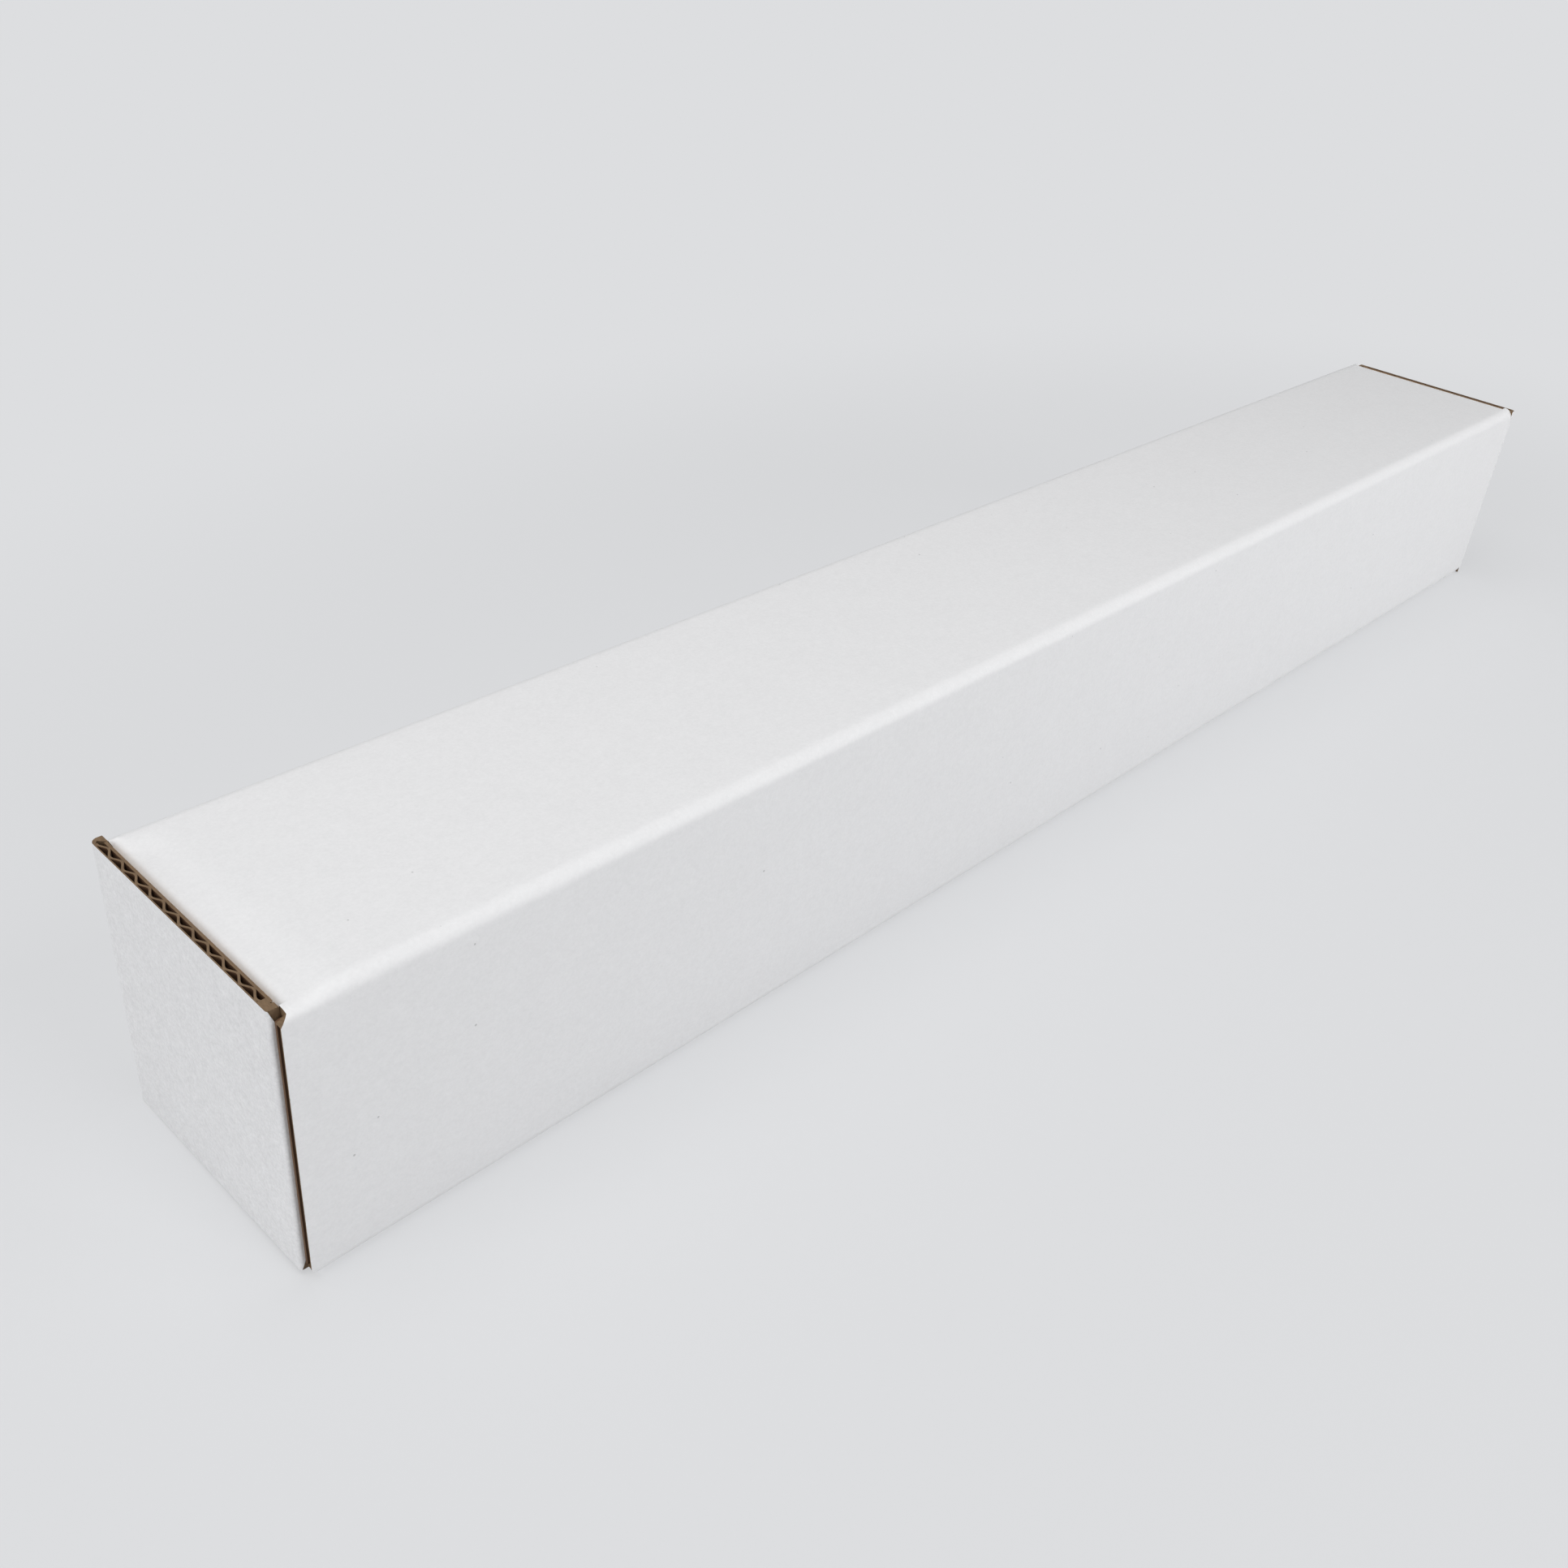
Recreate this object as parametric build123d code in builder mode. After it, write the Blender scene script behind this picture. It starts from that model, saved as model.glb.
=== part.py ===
from build123d import *
import os
from math import cos, floor, radians, sin, sqrt

# Square mailing tube: one folded sheet of corrugated board with a tuck flap at each end.
# X runs along the tube, Z is up, and the origin is the middle of the face it lies on.
# All sizes are in millimetres and degrees.

# Clear space inside the closed tube
inside_width = 76.2
inside_height = 78.0
inside_length = 635.0

# Corrugated board: a white outer liner, a fluted medium and a brown inner liner
board = 3.0
outer_liner = 0.3
inner_liner = 0.45
medium = 0.3
flute_pitch = 6.45
flute_bond = 0.95
flute_crest_radius = 0.35
raw_edge_groove = 2.5

# Folds, by their outside radius, and the flat land that each one runs out into
long_fold_radius = 4.0
dust_fold_radius = 3.5
hinge_fold_radius = 2.0
tuck_fold_radius = 3.0
fold_land = 1.0

# Room that lets the folded parts slide past each other
end_gap = 0.2
tuck_gap = 0.3
hinge_edge_gap = 0.2
dust_hinge_gap = 1.5
dust_tuck_gap = 1.0
tab_edge_gap = 1.0

# End flap: its raw edges close in towards the tuck, and its tab leans into the tube
flap_taper = 1.8
first_flute = 2.6
tab_length = 17.0
tab_lean = 7.5
tab_taper = 3.0
tab_corner = 4.0
tab_corner_radius = 3.0

# Wall beside the tuck, whose raw edge stands behind the face of the end flap
tuck_wall_recess = 1.7

# Dust flaps, folded in behind each end flap
dust_flap_length = 32.0
dust_flap_taper = 3.0
dust_corner_radius = 6.0

# Glue lap, along the bottom edge at the back
lap_width = 32.0
lap_inset = 12.0
lap_end_taper = 8.0

# Sizes that follow from the ones above
outer_width = inside_width + 2 * board
outer_height = inside_height + 2 * board
half_width = outer_width / 2
dust_front = board + end_gap
outer_length = inside_length + 2 * (dust_front + board)
core = board - outer_liner - inner_liner

# Tuck fold: the outermost line that it reaches, and its outer corner before it is rounded
lean = radians(tab_lean)
tuck_reach = half_width - board - tuck_gap
tuck_corner = -tuck_reach - tuck_fold_radius * ((1 + sin(lean)) / cos(lean) - 1)

# Dust flap sides, clear of the hinge wall and of the tab where it passes them
dust_hinge_side = half_width - board - dust_hinge_gap
tab_creep = (dust_front + board) * sin(lean)
dust_tuck_side = -(tuck_reach - board - tab_creep - dust_tuck_gap)

# Bottom and top panel: the height of the outer face, and the way into the tube from it
flat_panels = ((0, 1), (outer_height, -1))


def end_ground(turn):
    """Ground plane of an end, with X into the tube and Y to the side where its flap hinges."""
    inwards = Vector(1, 0, 0).rotate(Axis.Z, turn)
    return Plane(origin=inwards * (-outer_length / 2), x_dir=inwards, z_dir=(0, 0, 1))


def upright(ground, along, out):
    """Upright plane through the middle of an end, with Y up and X along a ground direction."""
    x_dir = ground.x_dir * along[0] + ground.y_dir * along[1]
    z_dir = ground.x_dir * out[0] + ground.y_dir * out[1]
    return Plane(origin=ground.origin, x_dir=x_dir, z_dir=z_dir)


# Void of one flute, standing on a liner: the medium is what is left between two rows of them
with BuildSketch() as flute:
    foot = (flute_pitch - flute_bond) / 2
    crest = flute_bond / 2
    rise = core - medium
    Polygon((-foot, 0), (foot, 0), (crest, rise), (-crest, rise), align=None)
    fillet(flute.vertices().group_by(Axis.Y)[-1], radius=flute_crest_radius)


def flute_places(first, run):
    """Places of the voids along a board whose outer face is the X axis, in two staggered rows."""
    count = floor((run - first) / flute_pitch) + 1
    inner_face = board - inner_liner
    inner = [Location((first + n * flute_pitch, inner_face, 0), (0, 0, 180)) for n in range(count)]
    outer = [Location((first + (n + 0.5) * flute_pitch, outer_liner, 0)) for n in range(count - 1)]
    return inner + outer


# Tube body: four panels, three long folds and the root of the glue lap
with BuildPart() as tube_body:
    with BuildSketch(Plane.YZ.offset(-outer_length / 2)):
        with BuildLine():
            FilletPolyline(
                (half_width, 0),
                (-half_width, 0),
                (-half_width, outer_height),
                (half_width, outer_height),
                (half_width, outer_height / 2),
                radius=long_fold_radius,
            )
            offset(amount=board, side=Side.LEFT)
        make_face()
        with BuildLine():
            FilletPolyline(
                (half_width, outer_height / 2),
                (half_width, board),
                (half_width - long_fold_radius - fold_land, board),
                radius=long_fold_radius,
            )
            offset(amount=board, side=Side.RIGHT)
        make_face()
    extrude(amount=outer_length)

    # Glue lap, stuck down on the bottom panel, with slanted ends
    with BuildSketch(Plane.XY.offset(board)):
        lap_root = half_width - long_fold_radius
        lap_edge = half_width - lap_width
        lap_end = outer_length / 2 - lap_inset
        Polygon(
            (-lap_end, lap_root),
            (lap_end, lap_root),
            (lap_end - lap_end_taper, lap_edge),
            (-lap_end + lap_end_taper, lap_edge),
            align=None,
        )
    extrude(amount=board)

    for turn in (0, 180):
        ground = end_ground(turn)
        front = upright(ground, along=(0, 1), out=(1, 0))
        side = upright(ground, along=(1, 0), out=(0, -1))

        # The panels stop behind the end flap, and the wall beside the tuck a little before that
        with BuildSketch(ground):
            tuck_strip = -half_width + board
            Polygon(
                (0, -half_width),
                (tuck_wall_recess, -half_width),
                (tuck_wall_recess, tuck_strip),
                (dust_front, tuck_strip),
                (dust_front, half_width),
                (0, half_width),
                align=None,
            )
        extrude(amount=outer_height, mode=Mode.SUBTRACT)

        # Raw edge of the wall beside the tuck: a flute lies open along it
        with BuildSketch(front.offset(tuck_wall_recess)):
            with Locations((-half_width + outer_liner, outer_height / 2)):
                Rectangle(core, outer_height - 2 * long_fold_radius, align=(Align.MIN, Align.CENTER))
        extrude(amount=raw_edge_groove, mode=Mode.SUBTRACT)

        # Hinge wall, mitred at the fold that carries the end flap
        with BuildSketch(ground.offset(hinge_edge_gap)) as hinge_wall:
            with Locations((0, half_width)):
                Rectangle(dust_front, board, align=(Align.MIN, Align.MAX))
            fold_line = hinge_wall.vertices().sort_by(Axis.Y)[-2:].sort_by(Axis.X)[0]
            fillet(fold_line, radius=hinge_fold_radius)
            Polygon(
                (0, half_width),
                (0, half_width - board),
                (board, half_width - board),
                align=None,
                mode=Mode.SUBTRACT,
            )
        extrude(amount=outer_height - 2 * hinge_edge_gap)

        # Dust flaps, one from the bottom panel and one from the top panel
        for level, inward in flat_panels:
            dust_width = dust_hinge_side - dust_tuck_side
            fold_end = dust_front + dust_fold_radius

            with BuildSketch(ground.offset(level)):
                with Locations((dust_front, dust_tuck_side)):
                    Rectangle(dust_fold_radius, dust_width, align=Align.MIN)
            extrude(amount=inward * board, mode=Mode.SUBTRACT)

            with BuildSketch(side.offset(-dust_hinge_side)):
                with BuildLine():
                    FilletPolyline(
                        (fold_end + fold_land, level),
                        (dust_front, level),
                        (dust_front, level + inward * (dust_fold_radius + fold_land)),
                        radius=dust_fold_radius,
                    )
                    offset(amount=board, side=Side.RIGHT if inward > 0 else Side.LEFT)
                make_face()
            extrude(amount=dust_width)

            free_edge = level + inward * dust_flap_length
            with BuildSketch(front.offset(dust_front)) as dust_panel:
                root = level + inward * dust_fold_radius
                Polygon(
                    (dust_tuck_side, root),
                    (dust_hinge_side, root),
                    (dust_hinge_side - dust_flap_taper, free_edge),
                    (dust_tuck_side + dust_flap_taper, free_edge),
                    align=None,
                )
                free_corners = dust_panel.vertices().sort_by(lambda corner: inward * corner.Y)[-2:]
                fillet(free_corners, radius=dust_corner_radius)
            extrude(amount=board)

            # Raw free edge of the dust flap, with a flute open along it
            with BuildSketch(front.offset(dust_front + outer_liner)):
                groove_length = dust_width - 2 * (dust_flap_taper + dust_corner_radius)
                with Locations(((dust_hinge_side + dust_tuck_side) / 2, free_edge)):
                    Rectangle(groove_length, 2 * raw_edge_groove)
            extrude(amount=core, mode=Mode.SUBTRACT)


def make_end_flap(turn):
    """End flap of one end: mitred hinge edge, fluted panel, crushed tuck fold and tuck tab."""
    ground = end_ground(turn)
    bisector = upright(ground, along=(1 / sqrt(2), -1 / sqrt(2)), out=(-1 / sqrt(2), -1 / sqrt(2)))
    tab_tip = (tab_length * cos(lean), tuck_corner + tab_length * sin(lean))
    shoulder = 2 * board + tab_edge_gap

    with BuildPart() as end_flap:
        with BuildSketch(ground.offset(hinge_edge_gap)) as section:
            with BuildLine():
                FilletPolyline((0, half_width), (0, tuck_corner), tab_tip, radius=tuck_fold_radius)
                offset(amount=board, side=Side.LEFT)
            make_face()
            fold_line = section.vertices().sort_by(Axis.Y)[-2:].sort_by(Axis.X)[0]
            fillet(fold_line, radius=hinge_fold_radius)
            Polygon(
                (0, half_width),
                (board, half_width - board),
                (board, half_width),
                align=None,
                mode=Mode.SUBTRACT,
            )

            # Fluting of the panel, counted from the hinge, and of the tab, from the tuck fold
            with Locations(Location((0, half_width, 0), (0, 0, -90))):
                panel_run = half_width + tuck_reach - tuck_fold_radius
                with Locations(*flute_places(first_flute, panel_run)):
                    add(flute.sketch, mode=Mode.SUBTRACT)
            with Locations(Location((0, tuck_corner, 0), (0, 0, tab_lean))):
                tab_first = tuck_fold_radius + fold_land + foot
                with Locations(*flute_places(tab_first, tab_length - fold_land - foot)):
                    add(flute.sketch, mode=Mode.SUBTRACT)
        extrude(amount=outer_height - 2 * hinge_edge_gap)

        # Raw edges, seen along the bisector of the tuck fold: a slow taper over the panel,
        # a steep shoulder round the fold, and a tab that narrows to its tip
        fold_middle = tuck_reach / sqrt(2)
        fold_end = (tuck_reach + tuck_fold_radius) / sqrt(2)
        tip = (tab_tip[0] - tab_tip[1]) / sqrt(2)
        lower_edge = [
            (-half_width, hinge_edge_gap),
            (-half_width / sqrt(2), hinge_edge_gap),
            (fold_middle, hinge_edge_gap + flap_taper),
            (fold_end, shoulder),
            (tip - tab_corner, shoulder + tab_taper),
            (tip + tab_corner, shoulder + tab_taper + 2 * tab_corner),
        ]
        upper_edge = [(place, outer_height - height) for place, height in reversed(lower_edge)]
        with BuildSketch(bisector) as outline:
            Polygon(*lower_edge, *upper_edge, align=None)
            tab_corners = outline.vertices().sort_by(Axis.X)[-4:-2]
            fillet(tab_corners, radius=tab_corner_radius)
        extrude(amount=outer_width, both=True, mode=Mode.INTERSECT)

        # Behind the panel the tab passes inside the long folds and the glue lap
        for level, inward in flat_panels:
            with BuildSketch(ground.offset(level)):
                with Locations((board, -half_width)):
                    Rectangle(tab_length, half_width, align=Align.MIN)
            extrude(amount=inward * shoulder, mode=Mode.SUBTRACT)
    return end_flap


near_end_flap = make_end_flap(0)
far_end_flap = make_end_flap(180)

# One file for each piece, named after it
tube_body.part.label = "tube_body"
near_end_flap.part.label = "near_end_flap"
far_end_flap.part.label = "far_end_flap"

os.makedirs("parts", exist_ok=True)
export_step(tube_body.part, "parts/tube_body.step")
export_step(near_end_flap.part, "parts/near_end_flap.step")
export_step(far_end_flap.part, "parts/far_end_flap.step")
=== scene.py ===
from math import atan2, ceil, cos, pi, radians, sin, sqrt
from types import SimpleNamespace

import bmesh
import bpy
from mathutils import Matrix, Vector


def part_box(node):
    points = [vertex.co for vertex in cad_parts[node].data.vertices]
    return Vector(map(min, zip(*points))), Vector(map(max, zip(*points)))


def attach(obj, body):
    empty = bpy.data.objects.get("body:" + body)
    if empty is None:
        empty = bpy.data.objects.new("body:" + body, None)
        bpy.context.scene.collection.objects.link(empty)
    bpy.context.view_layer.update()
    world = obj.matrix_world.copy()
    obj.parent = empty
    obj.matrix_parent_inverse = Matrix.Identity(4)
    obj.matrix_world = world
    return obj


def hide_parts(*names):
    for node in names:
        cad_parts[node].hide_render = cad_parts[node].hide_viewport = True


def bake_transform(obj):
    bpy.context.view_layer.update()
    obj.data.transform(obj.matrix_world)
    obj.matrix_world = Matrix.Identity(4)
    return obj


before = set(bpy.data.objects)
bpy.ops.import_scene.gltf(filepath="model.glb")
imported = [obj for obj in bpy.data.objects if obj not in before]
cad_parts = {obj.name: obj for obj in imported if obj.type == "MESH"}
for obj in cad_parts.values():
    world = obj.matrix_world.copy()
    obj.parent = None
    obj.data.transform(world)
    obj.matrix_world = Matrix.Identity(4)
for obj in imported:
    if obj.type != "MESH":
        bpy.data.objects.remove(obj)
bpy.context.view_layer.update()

bl_info = {
    "name": "Square Mailing Tube",
    "version": (1, 0, 0),
    "blender": (4, 5, 0),
    "location": "View3D > Sidebar > Mailing Tube",
    "description": "Folds a square mailing tube of white-faced corrugated board, layer by layer",
    "category": "Object",
}

MM = 0.001
UP = Vector((0, 0, 1))
QUARTER = pi / 2

# Flat steps that a quarter fold is bent in
QUARTER_FOLD = 8

# Places this close together count as one, and a cut this close to a corner goes through it, in millimetres.
# It is well above the rounding of the corners, so that every run cuts alike
SAME_PLACE = 1e-3

# Papers in the order of the material slots of every layer
PAPERS = ("white", "kraft", "cut", "fluting")


def from_hex(text):
    """Linear colour of an sRGB hex value."""
    parts = [int(text[i : i + 2], 16) / 255 for i in (1, 3, 5)]
    return tuple(c / 12.92 if c <= 0.04045 else ((c + 0.055) / 1.055) ** 2.4 for c in parts)


class MailingTubeBoard(bpy.types.PropertyGroup):
    """Sizes of the corrugated board and of its folds."""

    thickness: bpy.props.FloatProperty(
        name="Board", description="Thickness of the corrugated board",
        default=0.003, unit="LENGTH", precision=5,
    )
    outer_liner: bpy.props.FloatProperty(
        name="White Liner", description="Thickness of the white outer liner",
        default=0.00035, unit="LENGTH", precision=5,
    )
    inner_liner: bpy.props.FloatProperty(
        name="Brown Liner", description="Thickness of the brown inner liner",
        default=0.00075, unit="LENGTH", precision=5,
    )
    medium: bpy.props.FloatProperty(
        name="Medium", description="Thickness of the fluted medium",
        default=0.00062, unit="LENGTH", precision=5,
    )
    flute_pitch: bpy.props.FloatProperty(
        name="Flute Pitch", description="Distance from one flute to the next",
        default=0.00645, unit="LENGTH", precision=5,
    )
    long_fold: bpy.props.FloatProperty(
        name="Long Fold", description="Outside radius of the folds along the tube",
        default=0.004, unit="LENGTH",
    )
    dust_fold: bpy.props.FloatProperty(
        name="Dust Flap Fold", description="Outside radius of the dust flap folds",
        default=0.0035, unit="LENGTH",
    )
    hinge_fold: bpy.props.FloatProperty(
        name="Hinge Fold", description="Outside radius of the end flap hinges",
        default=0.002, unit="LENGTH",
    )
    tuck_crease: bpy.props.FloatProperty(
        name="Tuck Crease", description="Outside radius of the fold between end flap and tab",
        default=0.001, unit="LENGTH",
    )
    near_droop: bpy.props.FloatProperty(
        name="Near Droop", description="How far the top panel dips at its near end",
        default=0.0012, unit="LENGTH",
    )
    far_droop: bpy.props.FloatProperty(
        name="Far Droop", description="How far the top panel dips at its far end",
        default=0.0003, unit="LENGTH",
    )
    near_taper: bpy.props.FloatProperty(
        name="Near Flap Taper", description="How much the near end flap narrows towards its tuck",
        default=0.001, unit="LENGTH",
    )
    far_taper: bpy.props.FloatProperty(
        name="Far Flap Taper", description="How much the far end flap narrows towards its tuck",
        default=0.0003, unit="LENGTH",
    )
    far_sink: bpy.props.FloatProperty(
        name="Far Flap Sink", description="How far the far end flap lies below the top of the tube",
        default=0.0006, unit="LENGTH",
    )


class MailingTubeColours(bpy.types.PropertyGroup):
    """Colours of the paper layers and of the studio."""

    white_top: bpy.props.FloatVectorProperty(
        name="White Liner", description="Bleached top ply of the outer liner",
        subtype="COLOR", size=3, min=0, max=1, default=from_hex("#E6E6E7"),
    )
    kraft: bpy.props.FloatVectorProperty(
        name="Brown Liner", description="Unbleached inner liner",
        subtype="COLOR", size=3, min=0, max=1, default=from_hex("#B08F66"),
    )
    # Cut edge: darker than bare kraft, with painted shade of its rough, self-shadowing fibres and of the gaps
    # beside it
    cut_edge_with_shade: bpy.props.FloatVectorProperty(
        name="Cut Edge", description="Die-cut edges of the paper layers",
        subtype="COLOR", size=3, min=0, max=1, default=from_hex("#705A42"),
    )
    # Fluting: darker than the recycled medium itself, with painted shade of the flute channels and of the
    # slots between the liners
    fluting: bpy.props.FloatVectorProperty(
        name="Fluting", description="Recycled paper of the fluted medium",
        subtype="COLOR", size=3, min=0, max=1, default=from_hex("#5F432C"),
    )
    studio: bpy.props.FloatVectorProperty(
        name="Studio", description="Floor and background",
        subtype="COLOR", size=3, min=0, max=1, default=from_hex("#DDDEE0"),
    )


def board_plan():
    """Sizes of the board, the folds and the closed tube, in millimetres."""
    sizes = bpy.context.scene.mailing_tube_board
    plan = SimpleNamespace(**{name: getattr(sizes, name) / MM for name in sizes.__annotations__})
    plan.core = plan.thickness - plan.outer_liner - plan.inner_liner
    outer_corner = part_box("tube_body")[1]
    plan.half_width = outer_corner.y / MM
    plan.height = outer_corner.z / MM
    plan.end = -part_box("near_end_flap")[0].x / MM

    # How far the hinge liner runs on over the flap
    plan.hinge_land = 0.6

    # How far raw edges stop short: panels and walls of the end plane, end flaps of the top and bottom
    slide_room = 0.2
    plan.panel_stop = plan.thickness + slide_room
    plan.tuck_wall_stop = 1.0
    plan.hinge_gap = slide_room

    # Dust flaps: how far they reach to their hinge side and to their tuck side, and their outline
    dust_room = 1.5
    plan.dust_hinge_side = plan.half_width - plan.thickness - dust_room
    plan.dust_tuck_side = 32.99
    plan.dust_length = 32.0
    plan.dust_taper = 3.0
    plan.dust_corner = 6.0

    # Glue lap
    plan.lap_width = 32.0
    plan.lap_inset = 12.0
    plan.lap_slant = 8.0

    # End flap: where its tuck fold lies, how its tab leans into the tube, and its first flute
    tuck_room = 0.3
    plan.tuck_reach = plan.half_width - plan.thickness - tuck_room
    plan.tab_lean = radians(7.5)
    plan.lean_radius = 10.0
    plan.lean_start = 3.4
    plan.tab_length = 13.56
    plan.first_flute = 2.6
    return plan


# Materials


def add_node(tree, kind, settings=None, inputs=None):
    """Add a node with its settings, and with values or links for its inputs."""
    node = tree.nodes.new(kind)
    for name, value in (settings or {}).items():
        setattr(node, name, value)
    for name, value in (inputs or {}).items():
        if isinstance(value, bpy.types.NodeSocket):
            tree.links.new(value, node.inputs[name])
        else:
            node.inputs[name].default_value = value
    return node


def empty_material(name):
    """Material with an empty node tree, made only once."""
    material = bpy.data.materials.get(name) or bpy.data.materials.new(name)
    material.use_nodes = True
    material.node_tree.nodes.clear()
    return material, material.node_tree


def paper_material(name, roughness):
    """Material with a paper shader, ready for its pattern."""
    material, tree = empty_material(name)
    place = add_node(tree, "ShaderNodeTexCoord").outputs["Object"]
    shader = add_node(tree, "ShaderNodeBsdfPrincipled", inputs={"Roughness": roughness, "IOR": 1.5})
    add_node(tree, "ShaderNodeOutputMaterial", inputs={"Surface": shader.outputs["BSDF"]})
    return material, tree, place, shader


def shade(tree, place, size_mm, detail, strength, roughness=0.6):
    """Cloudy brightness pattern with patches of a real size, around 1."""
    cloud = add_node(
        tree, "ShaderNodeTexNoise", {"noise_dimensions": "3D"},
        {"Vector": place, "Scale": 1000 / size_mm, "Detail": detail, "Roughness": roughness},
    )
    spread = add_node(
        tree, "ShaderNodeMapRange", {"clamp": False},
        {
            "Value": cloud.outputs[0], "From Min": 0.3, "From Max": 0.7,
            "To Min": 1 - strength, "To Max": 1 + strength,
        },
    )
    return spread.outputs[0]


def overlay(tree, *patterns):
    """Patterns laid over each other: the product of their values."""
    result = patterns[0]
    for pattern in patterns[1:]:
        result = add_node(
            tree, "ShaderNodeMath", {"operation": "MULTIPLY"}, {0: result, 1: pattern}
        ).outputs[0]
    return result


def colour_paper(tree, shader, colour, tone):
    """Colour a paper, lighter and darker by its tone."""
    toned = add_node(
        tree, "ShaderNodeVectorMath", {"operation": "SCALE"}, {0: tuple(colour)[:3], "Scale": tone}
    )
    tree.links.new(toned.outputs[0], shader.inputs["Base Color"])


def white_top_liner(name, grain):
    """Bleached kraft liner, machine finished: matt, with a soft fibre mottle and a few specks."""
    scene = bpy.context.scene
    material, tree, place, shader = paper_material(name, 0.55)

    # Formation clouds of the sheet, flocks of fibres, and single fibres, which are drawn coarser
    # than they are so that they show
    clouds = shade(tree, place, size_mm=14, detail=2, strength=0.006)
    flocks = shade(tree, place, size_mm=2.6, detail=3, strength=0.012 * grain)
    fibres = shade(tree, place, size_mm=0.9, detail=4, strength=0.034 * grain, roughness=0.75)
    tone = overlay(tree, clouds, flocks, fibres)

    # Specks of bark and recycled fibre, about one in every few square centimetres
    cells = add_node(
        tree, "ShaderNodeTexVoronoi", {"feature": "F1"},
        {"Vector": place, "Scale": 1000 / 7, "Randomness": 1.0},
    )
    speck = add_node(
        tree, "ShaderNodeMapRange", {},
        {
            "Value": cells.outputs["Distance"], "From Min": 0.035, "From Max": 0.06,
            "To Min": 1.0, "To Max": 0.0,
        },
    )
    chosen = add_node(tree, "ShaderNodeSeparateColor", inputs={0: cells.outputs["Color"]})
    rare = add_node(tree, "ShaderNodeMath", {"operation": "GREATER_THAN"}, {0: chosen.outputs[0], 1: 0.86})
    spotted = overlay(tree, speck.outputs[0], rare.outputs[0], 0.35)
    clean = add_node(tree, "ShaderNodeMath", {"operation": "SUBTRACT"}, {0: 1.0, 1: spotted}).outputs[0]
    colour_paper(tree, shader, scene.mailing_tube_colours.white_top, overlay(tree, tone, clean))

    # The liner sinks a little between the flute tips, and its fibres stand out in raking light
    flat = add_node(tree, "ShaderNodeUVMap").outputs[0]
    along = add_node(tree, "ShaderNodeSeparateXYZ", inputs={0: flat}).outputs[0]
    flute_turns = 2 * pi / scene.mailing_tube_board.flute_pitch
    turns = add_node(tree, "ShaderNodeMath", {"operation": "MULTIPLY"}, {0: along, 1: flute_turns})
    wave = add_node(tree, "ShaderNodeMath", {"operation": "SINE"}, {0: turns.outputs[0]})
    washboard = add_node(
        tree, "ShaderNodeBump", {}, {"Strength": 0.35, "Distance": 0.01 * MM, "Height": wave.outputs[0]}
    )
    pile = add_node(
        tree, "ShaderNodeTexNoise", {},
        {"Vector": place, "Scale": 1000 / 0.8, "Detail": 5, "Roughness": 0.7},
    )
    relief = add_node(
        tree, "ShaderNodeBump", {},
        {
            "Strength": 0.5, "Distance": 0.04 * MM, "Height": pile.outputs[0],
            "Normal": washboard.outputs[0],
        },
    )
    tree.links.new(relief.outputs[0], shader.inputs["Normal"])
    return material


def brown_paper(name, colour, streak_mm, strength, relief_mm):
    """Unbleached paper: long brown fibres in slightly different tones, fully matt."""
    material, tree, place, shader = paper_material(name, 0.8)
    drawn = add_node(
        tree, "ShaderNodeMapping", {}, {"Vector": place, "Scale": (1.0, 0.35, 0.35)}
    ).outputs[0]
    clouds = shade(tree, place, size_mm=9, detail=2, strength=strength * 0.4)
    streaks = shade(tree, drawn, size_mm=streak_mm, detail=4, strength=strength, roughness=0.7)
    colour_paper(tree, shader, colour, overlay(tree, clouds, streaks))
    pile = add_node(
        tree, "ShaderNodeTexNoise", {},
        {"Vector": drawn, "Scale": 1000 / streak_mm, "Detail": 5, "Roughness": 0.7},
    )
    relief = add_node(
        tree, "ShaderNodeBump", {},
        {"Strength": 0.6, "Distance": relief_mm * MM, "Height": pile.outputs[0]},
    )
    tree.links.new(relief.outputs[0], shader.inputs["Normal"])
    return material


def board_papers(white_name, grain):
    """White liner, brown liner, cut edge and fluting; the cut edge and the fluting are coloured darker with
    painted shade. The raw edges are the roughest and most uneven.
    """
    colours = bpy.context.scene.mailing_tube_colours
    return {
        "white": white_top_liner(white_name, grain),
        "kraft": brown_paper(
            "unbleached_kraft_liner", colours.kraft, streak_mm=1.2, strength=0.10, relief_mm=0.05
        ),
        # Cut edges: a colour that holds painted shade of their rough fibres and of the gaps beside them
        "cut": brown_paper(
            "die_cut_edge_painted_shade", colours.cut_edge_with_shade, streak_mm=0.5, strength=0.22, relief_mm=0.12
        ),
        # Fluting: a colour that holds painted shade of the flute channels
        "fluting": brown_paper(
            "fluted_medium_painted_shade", colours.fluting, streak_mm=0.8, strength=0.12, relief_mm=0.05
        ),
    }


def tube_papers():
    """Papers of the tube, whose white liner is smooth."""
    return board_papers("white_top_kraft_liner", grain=1)


def flap_papers():
    """Papers of the end flaps, whose white liner has been handled and shows more of its fibres."""
    return board_papers("white_top_kraft_liner_handled", grain=2.8)


# Layers of the board


def middle_of(face):
    """Middle of a face."""
    return face.calc_center_median()


def with_edges(faces):
    """The faces with their edges and corners, always in the same order."""
    faces = list(faces)
    edges = dict.fromkeys(e for f in faces for e in f.edges)
    corners = dict.fromkeys(v for f in faces for v in f.verts)
    return faces + list(edges) + list(corners)


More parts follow.
